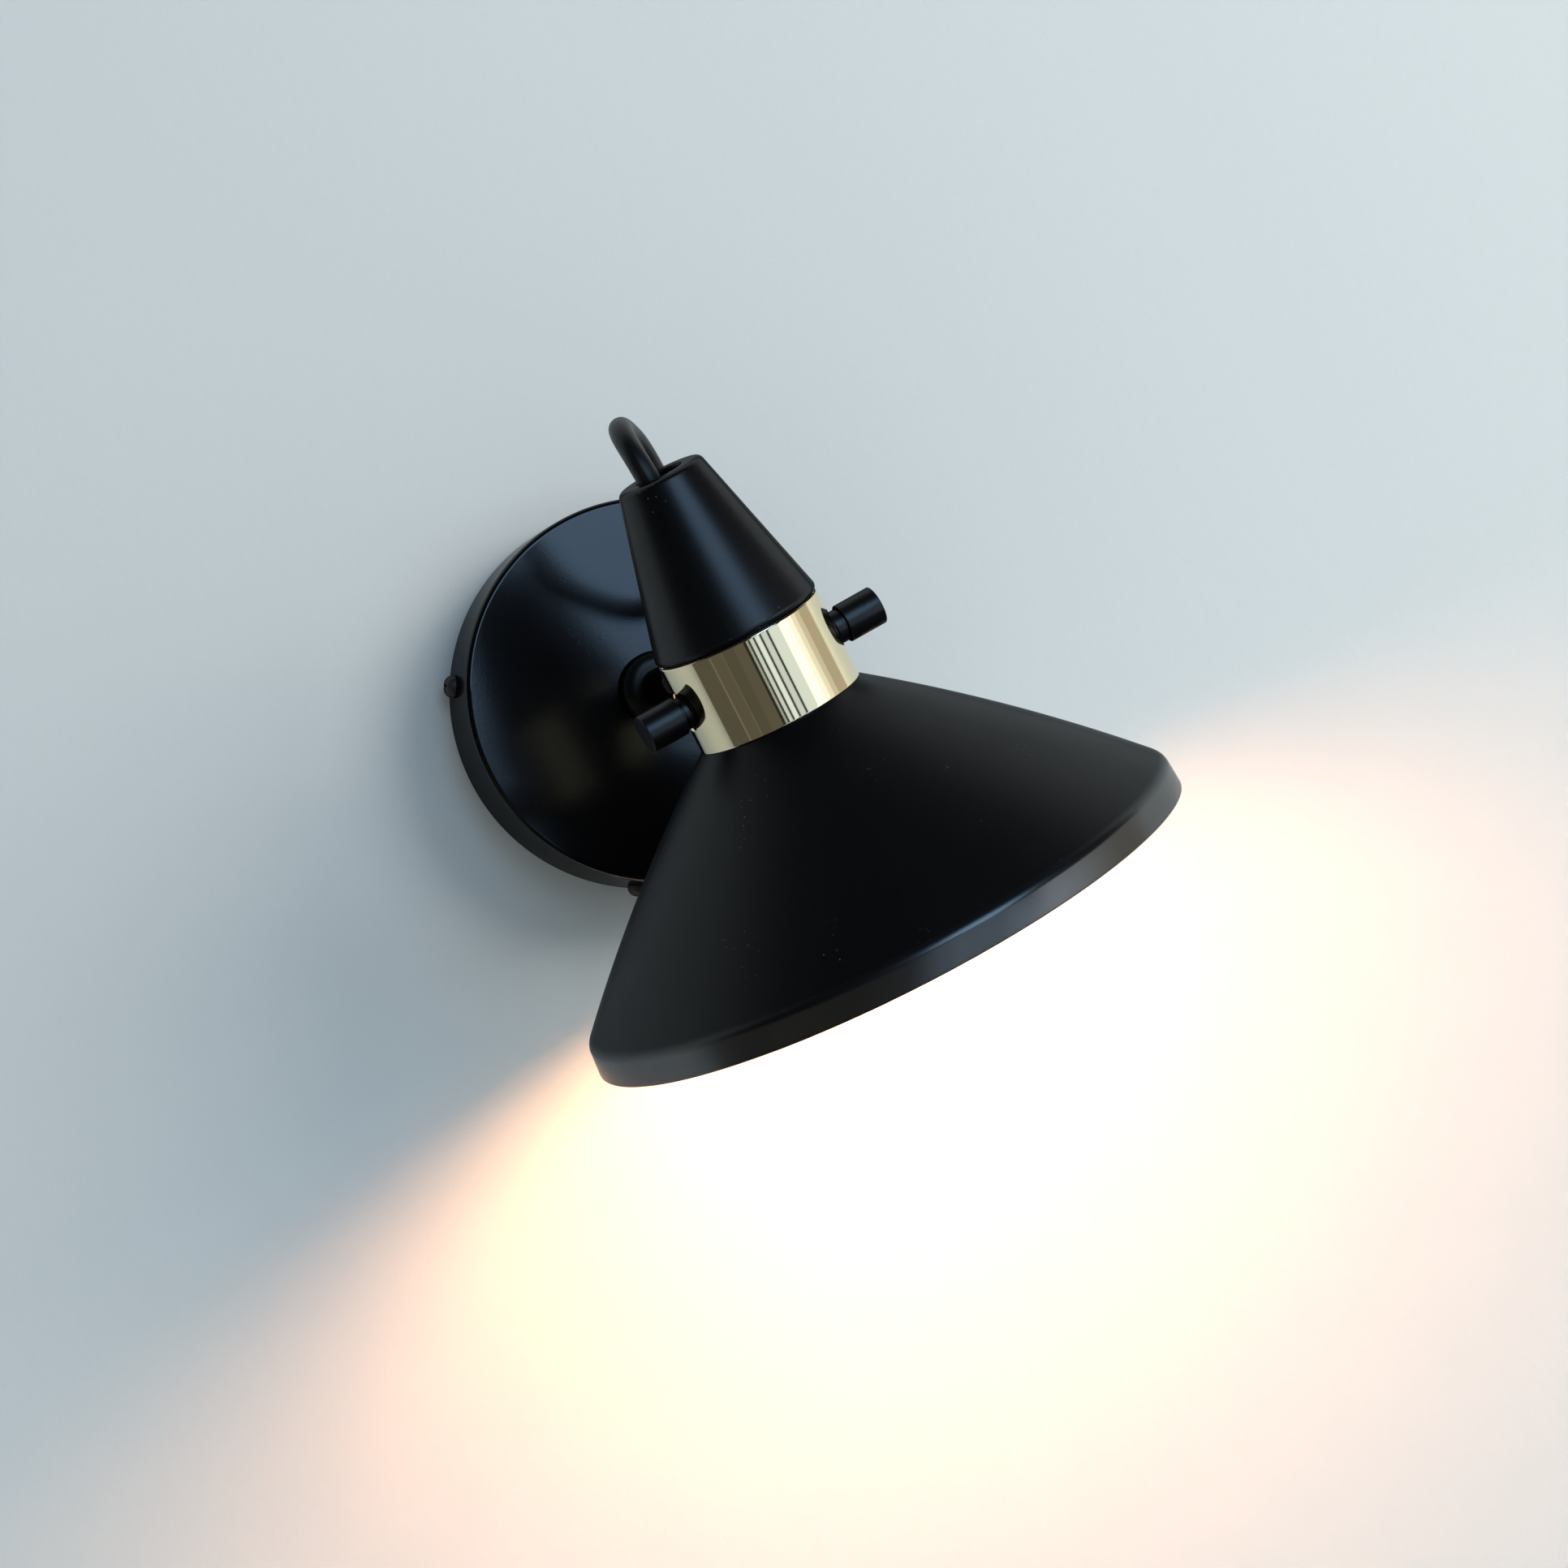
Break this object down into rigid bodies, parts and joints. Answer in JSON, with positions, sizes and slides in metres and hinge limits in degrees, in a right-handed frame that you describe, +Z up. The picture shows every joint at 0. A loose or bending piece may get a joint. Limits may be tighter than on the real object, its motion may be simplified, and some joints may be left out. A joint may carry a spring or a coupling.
{
  "type": "pivoting spotlight wall light",
  "caption": "Wall light with a round plate, a short swivel arm and a hinged head: conical cap, metal collar with thumb screws, bell shade and a flex looping from the cap back to the plate.",
  "frame": {"origin": "centre of the mounting bracket's back, on the wall and on the axis of the arm's swivel", "axes": "+Z up the wall, -Y out of the wall along the arm, +X to the right for somebody who faces the wall"},
  "size_m": [0.1976, 0.2337, 0.2027],
  "materials": {
    "satin_black": "satin",
    "polished_brass": "polished",
    "brass_plain": "satin",
    "zinc_steel": "satin",
    "black_screw": "satin",
    "cap_metal": "satin",
    "white_plastic": "matte",
    "black_plastic": "matte",
    "black_rubber": "matte",
    "flex_black": "satin",
    "holder_ceramic": "glazed",
    "opal_glass": "opal"
  },
  "bodies": {
    "plate": {"wall_plate": "satin_black", "mounting_bracket": "zinc_steel", "rim_screws": "black_screw", "terminal_block": "white_plastic", "terminal_screws": "brass_plain", "earth_screw": "brass_plain", "plate_grommet": "black_rubber", "friction_washer": "black_plastic", "cord_lower": "flex_black"},
    "arm": {"arm_hub": "satin_black", "arm_stem": "satin_black", "arm_fork": "satin_black", "thrust_washer": "zinc_steel", "spring_washer": "zinc_steel", "swivel_nut": "zinc_steel", "hinge_screw": "black_screw", "hinge_nut": "black_screw", "hinge_washers": "black_plastic"},
    "head": {"head_neck": "satin_black", "neck_nut": "zinc_steel", "collar": "polished_brass", "cap": "satin_black", "carrier_ring": "zinc_steel", "threaded_tube": "zinc_steel", "tube_nut": "zinc_steel", "cord_grip": "black_plastic", "grip_screw": "zinc_steel", "lampholder_body": "holder_ceramic", "lampholder_shell": "brass_plain", "lampholder_contact": "brass_plain", "bulb_cap": "cap_metal", "bulb_globe": "opal_glass", "inner_sleeve": "satin_black", "shade": "satin_black", "cord_upper": "flex_black"},
    "left_thumb_screw": {"thumb_screw_left": "satin_black"},
    "right_thumb_screw": {"thumb_screw_right": "satin_black"}
  },
  "joints": [
    {"name": "arm_swivel", "type": "hinge", "parent": "plate", "child": "arm", "pos_m": [0, -0.0282, 0], "axis": [0, -1, 0], "range_deg": [-120, 50], "deforming": ["cord_lower", "cord_upper"]},
    {"name": "head_tilt", "type": "hinge", "parent": "arm", "child": "head", "pos_m": [0, -0.087, 0], "axis": [-0.866, 0, -0.5], "range_deg": [-10, 60], "deforming": ["cord_lower", "cord_upper"]},
    {"name": "left_thumb_turn", "type": "hinge", "parent": "head", "child": "left_thumb_screw", "pos_m": [-0.02167, -0.1484, -0.02247], "axis": [-0.866, 0, -0.5], "range_deg": [0, 360]},
    {"name": "right_thumb_turn", "type": "hinge", "parent": "head", "child": "right_thumb_screw", "pos_m": [0.03029, -0.1484, 0.00753], "axis": [0.866, 0, 0.5], "range_deg": [0, 360]}
  ]
}
